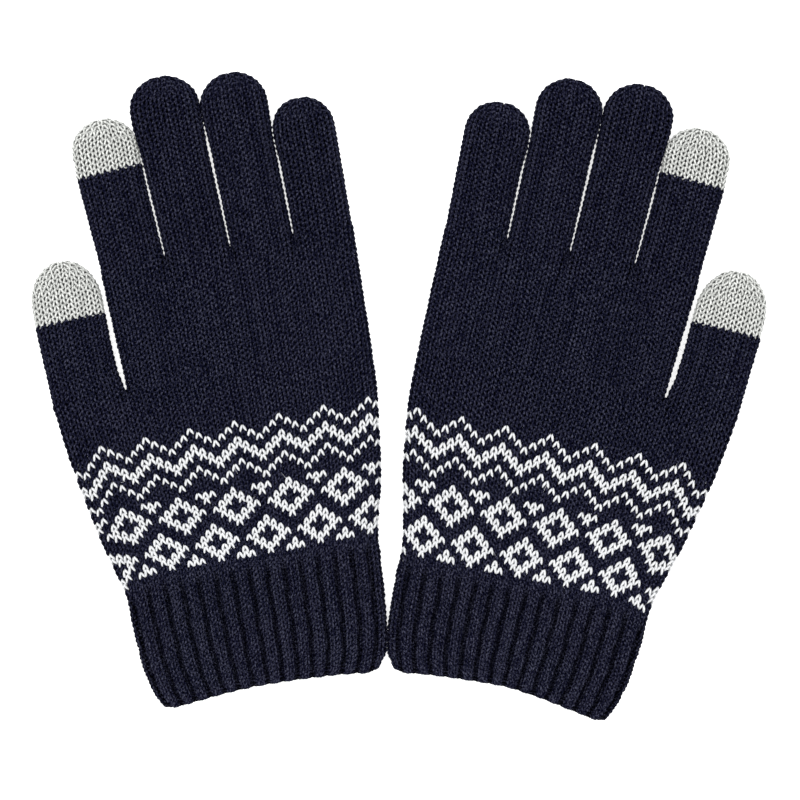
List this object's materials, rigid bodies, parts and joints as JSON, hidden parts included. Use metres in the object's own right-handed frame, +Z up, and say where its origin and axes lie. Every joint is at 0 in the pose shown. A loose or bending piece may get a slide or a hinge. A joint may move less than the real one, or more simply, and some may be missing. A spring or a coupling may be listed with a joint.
{
  "type": "pair of knitted gloves",
  "caption": "Pair of knitted touch-screen gloves lying flat, palm up, with a patterned wrist band, ribbed cuffs and light fingertip ends.",
  "frame": {"origin": "middle of the pair's outline, on the surface it lies on", "axes": "+X across the pair from the left-hand glove to the right-hand one, +Y from the cuffs towards the fingertips, +Z up, away from the surface"},
  "size_m": [0.248, 0.2174, 0.0087],
  "materials": {
    "hand_yarn": "matt heather knit, dark navy",
    "rib_yarn": "matt heather rib knit, dark navy",
    "contrast_yarn": "matt knit yarn, white",
    "touch_yarn": "soft conductive knit yarn, light grey",
    "elastic": "covered elastic thread"
  },
  "bodies": {
    "left_hand": {"left_cuff_hem": "rib_yarn", "left_cuff_rib": "rib_yarn", "left_cuff_elastic": "elastic", "left_pattern_band": "hand_yarn", "left_contrast_yarn": "contrast_yarn", "left_five_finger_body": "hand_yarn", "left_four_finger_body": "hand_yarn"},
    "left_thumb": {"left_thumb_stall": "hand_yarn"},
    "left_thumb_tip": {"left_thumb_touch_tip": "touch_yarn"},
    "left_index": {"left_index_stall": "hand_yarn"},
    "left_index_tip": {"left_index_touch_tip": "touch_yarn"},
    "left_middle": {"left_middle_stall": "hand_yarn"},
    "left_ring": {"left_ring_stall": "hand_yarn"},
    "left_little": {"left_little_stall": "hand_yarn"},
    "right_hand": {"right_cuff_hem": "rib_yarn", "right_cuff_rib": "rib_yarn", "right_cuff_elastic": "elastic", "right_pattern_band": "hand_yarn", "right_contrast_yarn": "contrast_yarn", "right_five_finger_body": "hand_yarn", "right_four_finger_body": "hand_yarn"},
    "right_thumb": {"right_thumb_stall": "hand_yarn"},
    "right_thumb_tip": {"right_thumb_touch_tip": "touch_yarn"},
    "right_index": {"right_index_stall": "hand_yarn"},
    "right_index_tip": {"right_index_touch_tip": "touch_yarn"},
    "right_middle": {"right_middle_stall": "hand_yarn"},
    "right_ring": {"right_ring_stall": "hand_yarn"},
    "right_little": {"right_little_stall": "hand_yarn"}
  },
  "joints": [
    {"name": "right_glove_lift", "type": "slide", "parent": "left_hand", "child": "right_hand", "axis": [0, 0, 1], "range_m": [0, 0.06]},
    {"name": "left_thumb_bend", "type": "hinge", "parent": "left_hand", "child": "left_thumb", "pos_m": [-0.10564, 0.00439, 0.00419], "axis": [0.9839, 0.1788, 0], "range_deg": [0, 90]},
    {"name": "left_index_bend", "type": "hinge", "parent": "left_hand", "child": "left_index", "pos_m": [-0.09098, 0.04873, 0.00419], "axis": [0.9839, 0.1788, 0], "range_deg": [0, 90]},
    {"name": "left_middle_bend", "type": "hinge", "parent": "left_hand", "child": "left_middle", "pos_m": [-0.06878, 0.05276, 0.00419], "axis": [0.9839, 0.1788, 0], "range_deg": [0, 90]},
    {"name": "left_ring_bend", "type": "hinge", "parent": "left_hand", "child": "left_ring", "pos_m": [-0.04715, 0.05669, 0.00419], "axis": [0.9839, 0.1788, 0], "range_deg": [0, 90]},
    {"name": "left_little_bend", "type": "hinge", "parent": "left_hand", "child": "left_little", "pos_m": [-0.02628, 0.06048, 0.00419], "axis": [0.9839, 0.1788, 0], "range_deg": [0, 90]},
    {"name": "left_thumb_tip_bend", "type": "hinge", "parent": "left_thumb", "child": "left_thumb_tip", "pos_m": [-0.11162, 0.03034, 0.00419], "axis": [0.9839, 0.1788, 0], "range_deg": [0, 80]},
    {"name": "left_index_tip_bend", "type": "hinge", "parent": "left_index", "child": "left_index_tip", "pos_m": [-0.09923, 0.08016, 0.00419], "axis": [0.9839, 0.1788, 0], "range_deg": [0, 80]},
    {"name": "right_thumb_bend", "type": "hinge", "parent": "right_hand", "child": "right_thumb", "pos_m": [0.10374, 0.00144, 0.00419], "axis": [0.9799, -0.1994, 0], "range_deg": [0, 90]},
    {"name": "right_index_bend", "type": "hinge", "parent": "right_hand", "child": "right_index", "pos_m": [0.09153, 0.04577, 0.00419], "axis": [0.9799, -0.1994, 0], "range_deg": [0, 90]},
    {"name": "right_middle_bend", "type": "hinge", "parent": "right_hand", "child": "right_middle", "pos_m": [0.06942, 0.05027, 0.00419], "axis": [0.9799, -0.1994, 0], "range_deg": [0, 90]},
    {"name": "right_ring_bend", "type": "hinge", "parent": "right_hand", "child": "right_ring", "pos_m": [0.04788, 0.05465, 0.00419], "axis": [0.9799, -0.1994, 0], "range_deg": [0, 90]},
    {"name": "right_little_bend", "type": "hinge", "parent": "right_hand", "child": "right_little", "pos_m": [0.02709, 0.05888, 0.00419], "axis": [0.9799, -0.1994, 0], "range_deg": [0, 90]},
    {"name": "right_thumb_tip_bend", "type": "hinge", "parent": "right_thumb", "child": "right_thumb_tip", "pos_m": [0.11138, 0.02703, 0.00419], "axis": [0.9799, -0.1994, 0], "range_deg": [0, 80]},
    {"name": "right_index_tip_bend", "type": "hinge", "parent": "right_index", "child": "right_index_tip", "pos_m": [0.10044, 0.07702, 0.00419], "axis": [0.9799, -0.1994, 0], "range_deg": [0, 80]}
  ]
}
